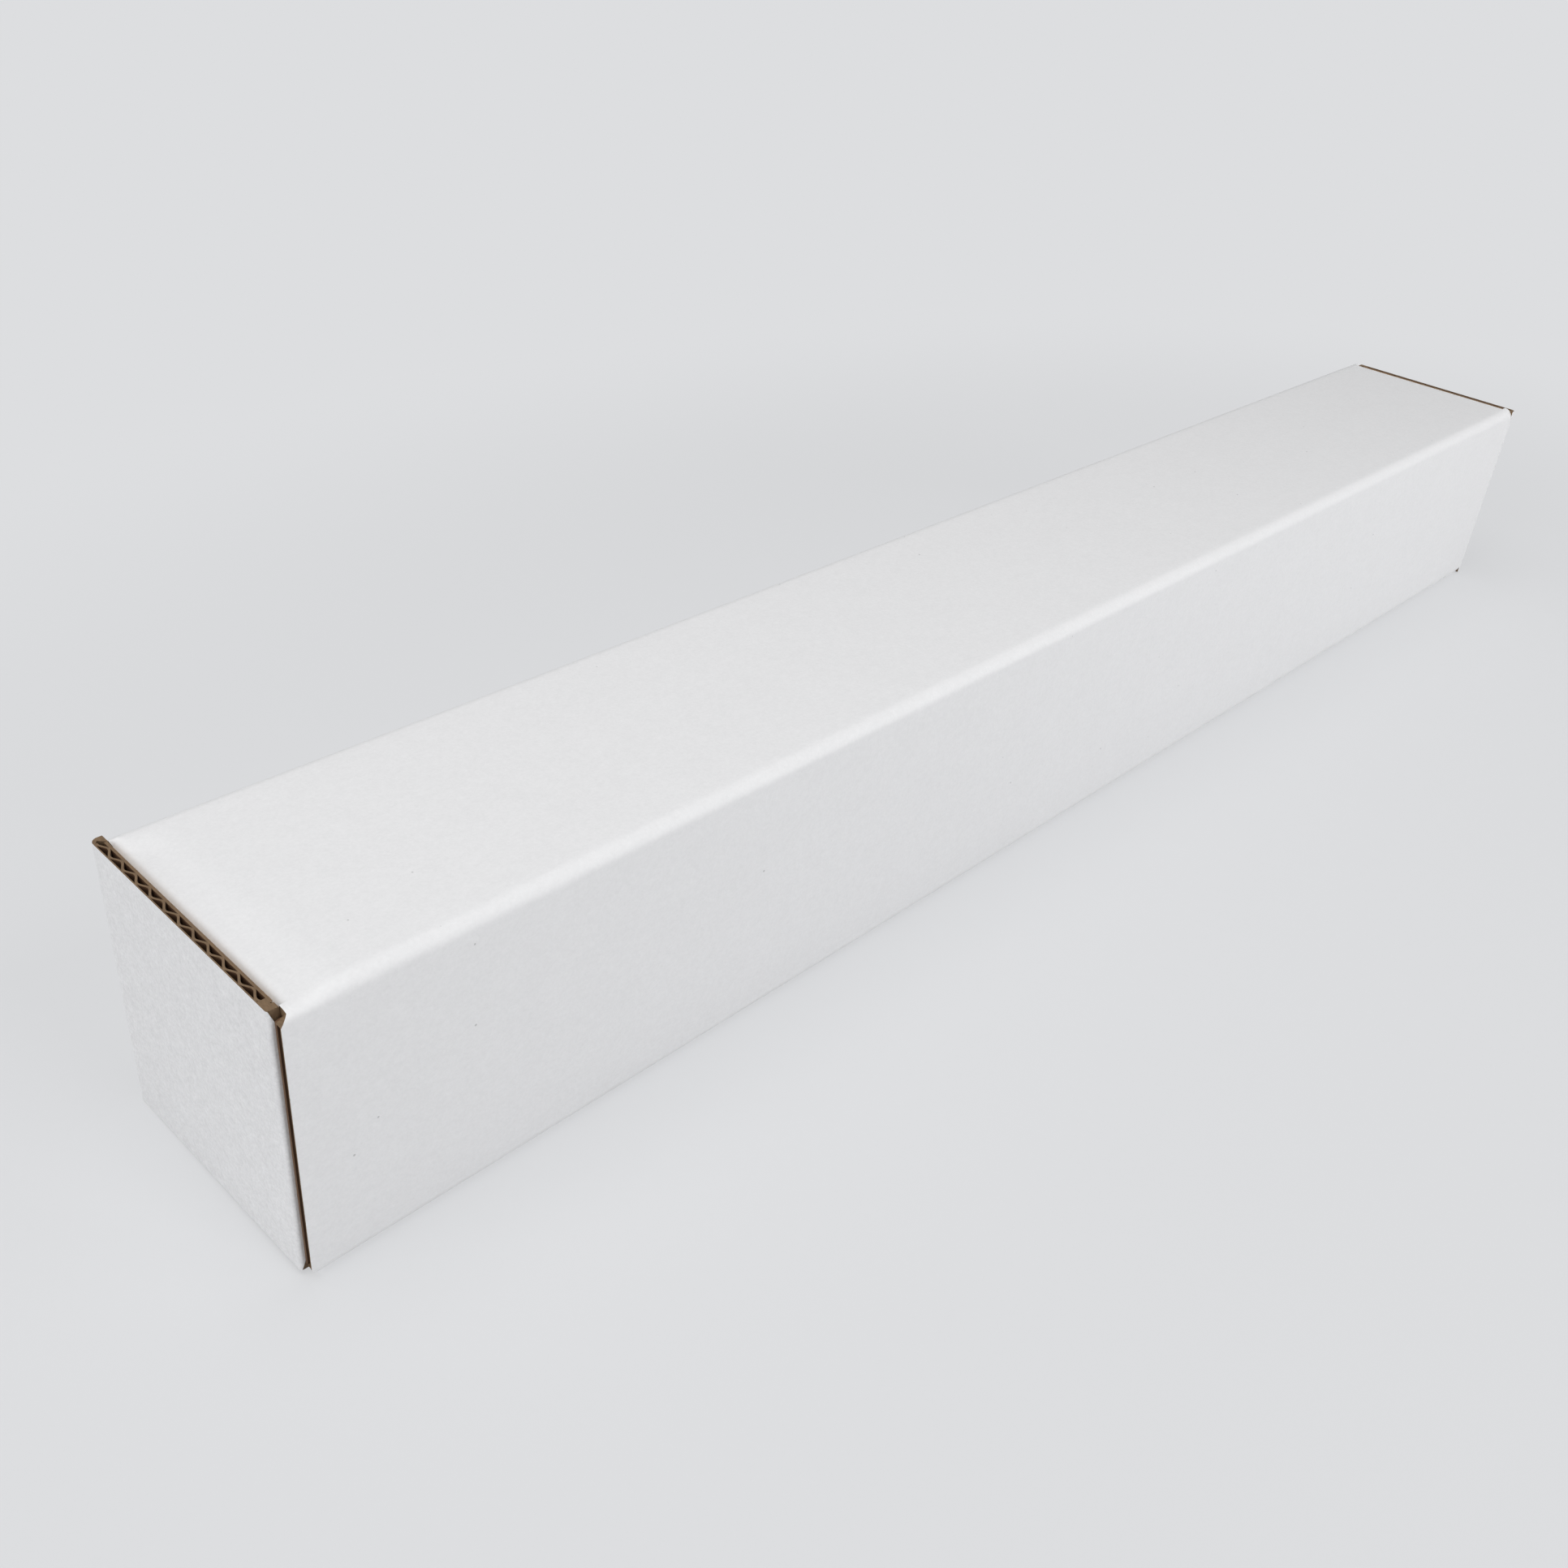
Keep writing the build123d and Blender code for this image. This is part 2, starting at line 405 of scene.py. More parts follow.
def cut_through(bm, faces, point, across, **clearing):
    """Cut the faces with a plane."""
    return bmesh.ops.bisect_plane(
        bm, geom=with_edges(faces), dist=SAME_PLACE, plane_co=point, plane_no=across, **clearing
    )


def score(bm, places, across):
    """Lines across the whole sheet, for its folds and edges."""
    for place in sorted(set(round(p, 5) for p in places)):
        cut_through(bm, bm.faces, Vector(across) * place, across)


def trim(bm, faces, point, outwards):
    """Cut the faces with an upright plane and throw away what is outside it."""
    point, outwards = Vector(point), Vector(outwards)
    parts = cut_through(bm, faces, point, outwards)["geom"]
    outside = [
        f for f in parts
        if isinstance(f, bmesh.types.BMFace) and (middle_of(f) - point).dot(outwards) > 0
    ]
    bmesh.ops.delete(bm, geom=outside, context="FACES")


def drawn_out(bm, geometry, way):
    """Move what an extrusion has just made."""
    moved = [v for v in geometry if isinstance(v, bmesh.types.BMVert)]
    bmesh.ops.translate(bm, verts=moved, vec=way)


def paper_sheet(low, high, depth):
    """Flat sheet between two corners, lying at its depth in the board, outer face down."""
    bm = bmesh.new()
    bmesh.ops.create_grid(bm, x_segments=1, y_segments=1, size=0.5)
    bmesh.ops.scale(bm, verts=bm.verts[:], vec=(high[0] - low[0], high[1] - low[1], 1))
    middle = ((low[0] + high[0]) / 2, (low[1] + high[1]) / 2, depth)
    bmesh.ops.translate(bm, verts=bm.verts[:], vec=middle)
    return bm


def fluted_sheet(low, high, first, plan):
    """Medium between two corners: a rounded zigzag line, drawn out along the flutes."""
    # The zigzag's height and the length that rounds its tips, before it is scaled to the core
    zigzag, rounding = 2.4, 0.9
    bm = bmesh.new()
    half = plan.flute_pitch / 2
    start = first - half * ceil((first - low[0]) / half + 1)
    if round((first - start) / half) % 2:
        start -= half
    count = ceil((high[0] - start) / half) + 1
    ends = [bm.verts.new((start + x, low[1], 0)) for x in (0, count * half)]
    line = bm.edges.new(ends)
    bmesh.ops.subdivide_edges(bm, edges=[line], cuts=count - 1)
    tips = [v for v in bm.verts if round((v.co.x - start) / half) % 2]
    bmesh.ops.translate(bm, verts=tips, vec=(0, 0, zigzag))
    corners = [v for v in bm.verts if len(v.link_edges) == 2]
    bmesh.ops.bevel(
        bm, geom=corners, offset=rounding, affect="VERTICES", segments=3, profile=0.5, material=-1
    )
    heights = [v.co.z for v in bm.verts if len(v.link_edges) == 2]
    foot, crest = min(heights), max(heights)
    rise = plan.core - plan.medium
    bmesh.ops.translate(bm, verts=bm.verts[:], vec=(0, 0, -foot))
    bmesh.ops.scale(bm, verts=bm.verts[:], vec=(1, 1, rise / (crest - foot)))
    bmesh.ops.translate(bm, verts=bm.verts[:], vec=(0, 0, plan.outer_liner))
    drawn = bmesh.ops.extrude_edge_only(bm, edges=bm.edges[:])["geom"]
    drawn_out(bm, drawn, (0, high[1] - low[1], 0))
    for place, outwards in ((low[0], -1), (high[0], 1)):
        trim(bm, bm.faces[:], (place, 0, 0), (outwards, 0, 0))
    return bm


def lie_flat(bm):
    """Keep each face's flat place as a UV map, in metres, so that patterns follow the sheet."""
    flat = bm.loops.layers.uv.verify()
    for face in bm.faces:
        for loop in face.loops:
            loop[flat].uv = loop.vert.co.xy * MM


def give_thickness(bm, thickness, outer, inner, edge):
    """Turn a flat layer into a closed sheet, and set the papers of its two faces and its cut edges."""
    grown = bmesh.ops.extrude_face_region(bm, geom=bm.faces[:])["geom"]
    drawn_out(bm, grown, (0, 0, thickness))
    bmesh.ops.recalc_face_normals(bm, faces=bm.faces[:])
    for face in bm.faces:
        paper = outer if face.normal.z < -0.5 else inner if face.normal.z > 0.5 else edge
        face.material_index = PAPERS.index(paper)
    lie_flat(bm)


def bend(bm, reach, radius, angle, line, towards):
    """Bend the sheet beyond a line up over its inner face.
    Reach says how far beyond the line each corner lies."""
    steps = max(2, round(QUARTER_FOLD * angle / QUARTER))
    length = radius * angle / steps
    turn = Matrix.Rotation(angle / steps, 3, towards.cross(UP))
    for step in range(steps, 0, -1):
        begin, stop = (step - 1) * length + SAME_PLACE, step * length - SAME_PLACE
        moving = [v for v, beyond in reach.items() if beyond > stop]
        centre = line + towards * length * (step - 1) + UP * radius
        bmesh.ops.translate(bm, verts=moving, vec=-towards * length)
        bmesh.ops.rotate(bm, verts=moving, cent=centre, matrix=turn)

        # Corners of a slanting cut between two steps stay on the straight line from one to the next
        for v in [v for v, beyond in reach.items() if begin < beyond <= stop]:
            share = reach[v] / length - (step - 1)
            start = v.co - towards * length * share
            v.co = start.lerp(centre + turn @ (start - centre), share)


def finish_layer(bm, name, body, papers, turned=False):
    """Make the layer an object of real size, and let it ride on its body."""
    if turned:
        bmesh.ops.rotate(bm, verts=bm.verts[:], cent=(0, 0, 0), matrix=Matrix.Rotation(pi, 3, "Z"))
    bmesh.ops.scale(bm, verts=bm.verts[:], vec=(MM, MM, MM))
    mesh = bpy.data.meshes.new(name)
    bm.to_mesh(mesh)
    bm.free()
    mesh.shade_smooth()
    mesh.set_sharp_from_angle(angle=radians(35))
    for paper in PAPERS:
        mesh.materials.append(papers[paper])
    layer = bpy.data.objects.new(name, mesh)
    bpy.context.scene.collection.objects.link(layer)
    if body:
        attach(layer, body)
    return layer


# Blank of the tube


def blank_plan(plan, wall_recess=0):
    """Fold lines and lanes of the flat blank. Y falls from the raw edge of the bottom panel to the lap.
    A lane is (from, to, how far it stops short of the end plane).
    None stands for a panel that runs on into a dust flap."""
    r = plan.long_fold
    arc = r * QUARTER
    front_run = plan.height - 2 * r
    top_run = 2 * plan.half_width - 2 * r
    rear_run = plan.height - r - plan.thickness - r
    folds = [-plan.half_width + r]
    for run in (front_run, top_run, rear_run):
        folds.append(folds[-1] - arc - run)
    top_middle = folds[1] - arc - top_run / 2
    lap_root = folds[3] - arc
    lap_edge = lap_root - (plan.lap_width - r)
    blank = SimpleNamespace(arc=arc, folds=folds, lap_root=lap_root, lap_edge=lap_edge)
    blank.raw_edge = plan.half_width
    blank.panels = ((folds[0], blank.raw_edge), (folds[2], folds[1] - arc))
    blank.top = lambda y: top_middle - y
    blank.dust_root = plan.end - plan.panel_stop - plan.dust_fold
    blank.dust_flat = blank.dust_root + plan.dust_fold * QUARTER
    blank.dust_free = blank.dust_flat + plan.dust_length - plan.dust_fold
    blank.lap_end = plan.end - plan.lap_inset
    blank.wall_stop = plan.tuck_wall_stop + wall_recess
    blank.lanes = {}
    for side, front, rear in (
        (-1, blank.wall_stop, plan.panel_stop),
        (1, plan.panel_stop, blank.wall_stop),
    ):
        blank.lanes[side] = [
            (blank.raw_edge, -folds[0], rear),
            (-folds[0], folds[0], None),
            (folds[0], folds[1] - arc, front),
            (folds[1] - arc, folds[2], None),
            (folds[2], folds[3] - arc, rear),
            (folds[3] - arc, lap_edge, plan.lap_inset),
        ]
    return blank


def cut_blank(bm, plan, blank):
    """Cut a layer to the blank's outline and score its fold lines."""
    steps = range(QUARTER_FOLD + 1)

    # Lines along the tube: folds, edges of the lanes, and lines that let the top panel dip
    dip_insets = (2, 4, 6, 8, 11, 19, 28)
    fold_lines = [fold - blank.arc * k / QUARTER_FOLD for fold in blank.folds for k in steps]
    lane_lines = [edge for lanes in blank.lanes.values() for lane in lanes for edge in lane[:2]]
    dip_lines = [
        blank.top(sign * (plan.half_width - plan.long_fold - inset))
        for inset in dip_insets for sign in (-1, 1)
    ]
    score(bm, fold_lines + lane_lines + dip_lines, (0, 1, 0))

    # Lines across it: raw ends, dust flap folds, and lines that let the top panel dip
    dip_setbacks = (1.5, 3, 5, 7.5, 10, 13)
    stops = [plan.end - stop for stop in (plan.panel_stop, blank.wall_stop, plan.lap_inset)]
    dust = [blank.dust_root + plan.dust_fold * QUARTER * k / QUARTER_FOLD for k in steps]
    dips = [blank.dust_root - setback for setback in dip_setbacks]
    score(bm, [side * place for side in (-1, 1) for place in stops + dust + dips], (1, 0, 0))

    waste = []
    for face in bm.faces:
        middle = middle_of(face)
        side = 1 if middle.x > 0 else -1
        for upper, lower, stop in blank.lanes[side]:
            if lower < middle.y < upper:
                reach = blank.dust_free if stop is None else plan.end - stop
                if side * middle.x > reach:
                    waste.append(face)
    bmesh.ops.delete(bm, geom=waste, context="FACES")
    slit_dust_flaps(bm, blank)

    # The ends of the lap slant back, and the two long folds beside each tuck are cut back
    slant = Vector((blank.lap_root - blank.lap_edge, -plan.lap_slant, 0)).normalized()
    for side in (-1, 1):
        lap = [f for f in bm.faces if middle_of(f).y < blank.lap_root and middle_of(f).x * side > 0]
        trim(bm, lap, (side * blank.lap_end, blank.lap_root, 0), (side * slant.x, slant.y, 0))
        tucked_folds = (0, 1) if side < 0 else (2, 3)
        for number in tucked_folds:
            cut_back_fold(bm, plan, blank, side, number)
        for panel_middle in (0, blank.top(0)):
            shape_dust_flap(bm, plan, blank, side, panel_middle)


def slit_dust_flaps(bm, blank):
    """Part each dust flap and its fold from the long folds beside it."""
    sides = [place for panel in blank.panels for place in panel if place != blank.raw_edge]
    start = blank.dust_root - SAME_PLACE

    def in_slit(edge, place):
        return all(abs(v.co.y - place) < SAME_PLACE and abs(v.co.x) > start for v in edge.verts)

    slits = [e for e in bm.edges if any(in_slit(e, place) for place in sides)]
    bmesh.ops.split_edges(bm, edges=slits)


def cut_back_fold(bm, plan, blank, side, number):
    """Cut back the end of a long fold: square on its panel half, slanting from the wall on the other."""
    fold = blank.folds[number]
    to_panel = 1 if number in (0, 2) else -1
    middle = fold - blank.arc / 2
    wall_side = middle - to_panel * blank.arc / 2
    strip = [f for f in in_folds(bm, blank, [fold]) if middle_of(f).x * side > 0]
    near_wall = [f for f in strip if (middle_of(f).y - middle) * to_panel < 0]
    near_panel = [f for f in strip if (middle_of(f).y - middle) * to_panel > 0]
    back = plan.panel_stop - blank.wall_stop
    trim(bm, near_panel, (side * (plan.end - plan.panel_stop), 0, 0), (side, 0, 0))
    wall_corner = (side * (plan.end - blank.wall_stop), wall_side, 0)
    trim(bm, near_wall, wall_corner, (side * blank.arc / 2, to_panel * back, 0))


def in_folds(bm, blank, folds):
    """Faces of the flat sheet that lie in the given long folds."""
    return [f for f in bm.faces if any(fold - blank.arc < middle_of(f).y < fold for fold in folds)]


def creased(bm, blank):
    """Faces of the flat sheet where a long fold or a dust flap fold crushes the board."""
    first = blank.dust_root + (blank.dust_flat - blank.dust_root) / QUARTER_FOLD
    across = [
        f for f in bm.faces
        if first < abs(middle_of(f).x) < blank.dust_flat
        and any(low < middle_of(f).y < high for low, high in blank.panels)
    ]
    return in_folds(bm, blank, blank.folds) + across


def shape_dust_flap(bm, plan, blank, side, panel_middle):
    """Narrow a dust flap beyond its fold, clear of hinge wall and tuck tab, and round its corners."""
    def flap():
        return [
            f for f in bm.faces
            if middle_of(f).x * side > blank.dust_flat - SAME_PLACE
            and abs(middle_of(f).y - panel_middle) < plan.half_width
        ]

    # The hinge lies at the rear of the near end and at the front of the far end.
    # The top panel is laid out upside down
    hinge_out = -side if panel_middle == 0 else side
    corner_steps = 6
    run = blank.dust_free - blank.dust_flat
    length = sqrt(run ** 2 + plan.dust_taper ** 2)
    for out, reach in ((hinge_out, plan.dust_hinge_side), (-hinge_out, plan.dust_tuck_side)):
        normal = Vector((side * plan.dust_taper / length, out * run / length, 0))
        root = Vector((side * blank.dust_flat, panel_middle + out * reach, 0))
        trim(bm, flap(), root, normal)
        corner_x = side * (blank.dust_free - plan.dust_corner)
        corner_y = root.y + (-plan.dust_corner - (corner_x - root.x) * normal.x) / normal.y
        hub = Vector((corner_x, corner_y, 0))
        start = atan2(normal.x * side, normal.y * out)
        for k in range(1, corner_steps):
            angle = start + (QUARTER - start) * k / corner_steps
            spoke = Vector((side * sin(angle), out * cos(angle), 0))
            trim(bm, flap(), hub + spoke * plan.dust_corner, spoke)


def fold_blank(bm, plan, blank):
    """Fold the dust flaps in, then the panels round into a tube, then let the top panel droop."""
    flat = {v: v.co.copy() for v in bm.verts}
    heights = {f: middle_of(f).y for f in bm.faces}
    for side in (-1, 1):
        root = Vector((side * blank.dust_root, 0, 0))
        for low, high in blank.panels:
            panel = dict.fromkeys(v for f, y in heights.items() if low < y < high for v in f.verts)
            reach = {v: flat[v].x * side - blank.dust_root for v in panel}
            bend(bm, reach, plan.dust_fold, QUARTER, root, Vector((side, 0, 0)))
    for fold in reversed(blank.folds):
        reach = {v: fold - place.y for v, place in flat.items()}
        bend(bm, reach, plan.long_fold, QUARTER, Vector((0, fold, 0)), Vector((0, -1, 0)))

    # The dip grows from the hinge side of an end to its tuck side and dies out in the fold there.
    # For each end: its depth, how far it runs along the tube, and how far across it grows
    half = plan.half_width - plan.long_fold
    dips = {-1: (plan.near_droop, 10, 9), 1: (plan.far_droop, 14, 2 * half)}
    for v, place in flat.items():
        side = 1 if place.x > 0 else -1
        depth, run, spread = dips[side]
        inset = half + side * blank.top(place.y)
        along = place.x * side - blank.dust_root + run
        past_fold = max(0, inset - 2 * half)
        v.co.z -= depth * ease(inset / spread) * ease(1 - past_fold / blank.arc) * ease(along / run)


def ease(t):
    """Smooth step from 0 to 1."""
    t = min(max(t, 0), 1)
    return t * t * (3 - 2 * t)


def folded_body(bm, thickness, faces, plan, blank):
    """Give a cut layer of the tube its thickness, and fold it."""
    give_thickness(bm, thickness, *faces)
    fold_blank(bm, plan, blank)


def body_sheet(depth, plan, blank):
    """Flat sheet of the whole tube at its depth in the board, cut out."""
    bm = paper_sheet((-blank.dust_free, blank.lap_edge), (blank.dust_free, blank.raw_edge), depth)
    cut_blank(bm, plan, blank)
    return bm


class MESH_OT_tube_body_liners(bpy.types.Operator):
    """Add the white outer liner and the brown inner liner of the tube, with its dust flaps and glue lap"""

    bl_idname = "mesh.mailing_tube_body_liners"
    bl_label = "Body Liners"

    def execute(self, context):
        plan = board_plan()
        papers = tube_papers()
        blank = blank_plan(plan)
        white = body_sheet(0, plan, blank)
        # The white liner's back takes the dark fluting paper: painted shade of the channels behind its cut
        # ends
        folded_body(white, plan.outer_liner, ("white", "fluting", "cut"), plan, blank)
        outer = finish_layer(white, "body_white_liner", "tube", papers)
        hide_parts("tube_body")

        # The brown liner stands back a little behind the cut edge of the white one
        brown_recess = 0.3
        blank = blank_plan(plan, brown_recess)
        brown = body_sheet(plan.thickness - plan.inner_liner, plan, blank)
        # The brown liner's face towards the medium and its raw edge take the dark fluting paper: painted
        # shade of the slot between the liners at the tube's ends
        folded_body(brown, plan.inner_liner, ("fluting", "kraft", "fluting"), plan, blank)
        finish_layer(brown, "body_brown_liner", "tube", papers)
        return {"FINISHED"}


class MESH_OT_tube_body_fluting(bpy.types.Operator):
    """Add the fluted medium behind the raw edges of the tube, and the crushed board inside its folds"""

    bl_idname = "mesh.mailing_tube_body_fluting"
    bl_label = "Body Fluting"

    def execute(self, context):
        plan = board_plan()
        papers = tube_papers()

        # Between the liners the medium is needed only behind the ends and the two long raw edges
        medium_recess, first_flute = 4.0, 7.2
        edge_strip, end_strip = 9, 16
        blank = blank_plan(plan, medium_recess)
        first = -plan.end + plan.tuck_wall_stop + first_flute
        low, high = (-blank.dust_free, blank.lap_edge), (blank.dust_free, blank.raw_edge)
        medium = fluted_sheet(low, high, first, plan)
        upper, lower = blank.raw_edge - edge_strip, blank.lap_edge + edge_strip
        score(medium, [upper, lower], (0, 1, 0))
        hidden = [
            f for f in medium.faces
            if abs(middle_of(f).x) < plan.end - end_strip and lower < middle_of(f).y < upper
        ]
        bmesh.ops.delete(medium, geom=hidden, context="FACES")
        cut_blank(medium, plan, blank)
        bmesh.ops.delete(medium, geom=creased(medium, blank), context="FACES")
        folded_body(medium, plan.medium, ("fluting", "fluting", "cut"), plan, blank)
        finish_layer(medium, "body_fluting", "tube", papers)

        # In the folds the crushed board reaches almost to the cut edge
        crush_recess = 0.1
        blank = blank_plan(plan, crush_recess)
        crushed = body_sheet(plan.outer_liner, plan, blank)
        kept = set(creased(crushed, blank))
        bmesh.ops.delete(crushed, geom=[f for f in crushed.faces if f not in kept], context="FACES")
        folded_body(crushed, plan.core, ("fluting", "fluting", "cut"), plan, blank)
        finish_layer(crushed, "body_crushed_folds", "tube", papers)
        return {"FINISHED"}


# End flaps


def near_end_place(plan):
    """From a flat flap (X away from the hinge, Z into the board) to the near end of the tube."""
    return Matrix((
        (0, 0, 1, -plan.end),
        (-1, 0, 0, plan.half_width),
        (0, -1, 0, plan.height / 2),
        (0, 0, 0, 1),
    ))


def flap_plan(plan, radius, sink, taper):
    """Lines of the flat end flap, for layers that fold round a radius: X is measured from the hinge."""
    flap = SimpleNamespace(radius=radius)
    flap.fold = plan.half_width + plan.tuck_reach - radius
    flap.turned = flap.fold + radius * QUARTER
    flap.lean = flap.turned + plan.lean_start - radius
    flap.tip = flap.lean + plan.tab_length

    # Raw edge: how far it lies from the hinge and from the flap's middle.
    # It steps in behind the fold, and slants in twice more along the tab
    shoulder_cut, side_cut, tip_cut = 6.8, 9.8, 13.8
    before_lean, side_run = 1.0, 7.0
    half = plan.height / 2 - plan.hinge_gap
    flap.edge = [
        (0, half - sink),
        ((flap.fold + flap.turned) / 2, half - sink - taper),
        (max(flap.turned, flap.lean - before_lean), half - shoulder_cut),
        (flap.lean + side_run, half - side_cut),
        (flap.tip, half - tip_cut),
    ]
    return flap


def cut_flap(bm, plan, flap):
    """Cut a layer to the end flap's outline and score its fold lines."""
    steps = range(QUARTER_FOLD + 1)
    creases = [flap.fold + (flap.turned - flap.fold) * k / QUARTER_FOLD for k in steps]
    leans = [flap.lean + plan.lean_radius * plan.tab_lean * k / 2 for k in range(3)]
    score(bm, creases + leans + [x for x, y in flap.edge[1:-1]], (1, 0, 0))
    for (x0, y0), (x1, y1) in zip(flap.edge, flap.edge[1:]):
        for side in (-1, 1):
            part = [f for f in bm.faces if x0 < middle_of(f).x < x1]
            if part:
                trim(bm, part, (x0, side * y0, 0), (y0 - y1, side * (x1 - x0), 0))


def fold_flap(bm, plan, flap):
    """Lean and fold the tuck tab, and stand the flap in the near end."""
    flat = {v: v.co.x for v in bm.verts}
    away = Vector((1, 0, 0))
    for line, radius, angle in (
        (flap.lean, plan.lean_radius, plan.tab_lean),
        (flap.fold, flap.radius, QUARTER),
    ):
        bend(bm, {v: x - line for v, x in flat.items()}, radius, angle, away * line, away)
    bmesh.ops.transform(bm, matrix=near_end_place(plan), verts=bm.verts[:])


def flap_layer(start, depth, thickness, faces, plan, flap):
    """One liner of the end flap, from a start line to the tip of its tab."""
    half = plan.height / 2
    bm = paper_sheet((start, -half), (flap.tip, half), depth)
    cut_flap(bm, plan, flap)
    give_thickness(bm, thickness, *faces)
    fold_flap(bm, plan, flap)
    return bm


def upright_board(outline, plan, sink=0):
    """Crushed board: its outline in (in from the end plane, across the tube), drawn up to full height."""
    bm = bmesh.new()
    corners = [bm.verts.new((u - plan.end, v, plan.hinge_gap + sink)) for u, v in outline]
    bm.faces.new(corners)
    tall = bmesh.ops.extrude_face_region(bm, geom=bm.faces[:])["geom"]
    drawn_out(bm, tall, (0, 0, plan.height - 2 * (plan.hinge_gap + sink)))
    dress_cuts(bm)
    return bm


def slice_off(bm, point, outwards):
    """Cut a solid piece with a plane, throw away what is outside it and close the cut."""
    cut = cut_through(bm, bm.faces, point, outwards, clear_outer=True)["geom_cut"]
    rim = [e for e in cut if isinstance(e, bmesh.types.BMEdge)]
    bmesh.ops.contextual_create(bm, geom=rim)


def dress_cuts(bm):
    """Cut edge all over a piece of crushed board, whose fluting no longer shows."""
    bmesh.ops.recalc_face_normals(bm, faces=bm.faces[:])
    for face in bm.faces:
        face.material_index = PAPERS.index("cut")
    lie_flat(bm)


def crushed_tuck(plan, flap, start, stop):
    """Crushed board of the tuck fold: rounded outside, square inside, and cut down towards the tab."""
    outside, inside = plan.outer_liner, plan.thickness - plan.inner_liner
    reach, radius = plan.tuck_reach, flap.radius
    bow = radius - outside
    corner_steps = 4
    turns = [QUARTER * k / corner_steps for k in range(corner_steps + 1)]
    round_corner = [(radius - bow * cos(turn), radius - reach - bow * sin(turn)) for turn in turns]
    bm = upright_board(
        [
            (outside, start), *round_corner,
            (stop, outside - reach), (stop, inside - reach),
            (inside, inside - reach), (inside, start),
        ],
        plan,
    )

    # One cut follows the raw edge of the flap, and a steep one takes off what stands over the tab
    tab_start, steepness = plan.thickness - 0.05, 0.2
    (x0, high), (x1, low) = flap.edge[:2]
    middle = Vector((-plan.end, 0, plan.height / 2))
    for up in (-1, 1):
        hinge_corner = middle + Vector((0, plan.half_width, up * high))
        slice_off(bm, hinge_corner, Vector((0, low - high, up * (x1 - x0))))
        slice_off(bm, middle + Vector((tab_start, 0, up * low)), Vector((1, 0, up * steepness)))
    dress_cuts(bm)
    return bm


class MESH_OT_tube_end_flaps(bpy.types.Operator):
    """Add both end flaps with their tuck tabs: two liners, the fluting between them and the crushed fold"""

    bl_idname = "mesh.mailing_tube_end_flaps"
    bl_label = "End Flaps"

    def execute(self, context):
        plan = board_plan()
        papers = flap_papers()
        inner = plan.thickness - plan.inner_liner
        half = plan.height / 2

        # Where the layers start, measured from the hinge, and how far the tuck fold is crushed to each side
        white_start = plan.hinge_fold + plan.hinge_land
        flute_start = 2.2
        crushed_start, crushed_stop = 4.4, 3.9

        # The brown face lies a little deeper than the solid's, so that it touches nothing that it passes
        clearance = 0.01
        for end, turned, sink, taper in (
            ("near", False, 0, plan.near_taper),
            ("far", True, plan.far_sink, plan.far_taper),
        ):
            body = f"{end}_flap"
            outside = flap_plan(plan, plan.tuck_crease, sink, taper)
            inside = flap_plan(plan, plan.thickness, sink, taper)
            # The liners' faces towards the medium take the dark fluting paper: painted shade of the flute
            # channels
            white = flap_layer(white_start, 0, plan.outer_liner, ("white", "fluting", "cut"), plan, outside)
            outer = finish_layer(white, f"{end}_flap_white_liner", body, papers, turned)
            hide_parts(f"{end}_end_flap")
            brown = flap_layer(
                plan.thickness, inner, plan.inner_liner - clearance, ("fluting", "kraft", "cut"), plan, inside
            )
            finish_layer(brown, f"{end}_flap_brown_liner", body, papers, turned)
            fold = crushed_tuck(plan, outside, crushed_start - plan.tuck_reach, crushed_stop)
            finish_layer(fold, f"{end}_flap_crushed_fold", body, papers, turned)

            crush_from = plan.half_width + plan.tuck_reach - crushed_start
            crush_to = inside.turned + crushed_stop - plan.thickness
            medium = fluted_sheet((flute_start, -half), (inside.tip, half), plan.first_flute, plan)
            score(medium, (crush_from, crush_to), (1, 0, 0))
            within = [f for f in medium.faces if crush_from < middle_of(f).x < crush_to]
            bmesh.ops.delete(medium, geom=within, context="FACES")
            cut_flap(medium, plan, inside)
            give_thickness(medium, plan.medium, "fluting", "fluting", "cut")
            fold_flap(medium, plan, inside)
            finish_layer(medium, f"{end}_flap_fluting", body, papers, turned)
        return {"FINISHED"}


# Hinges


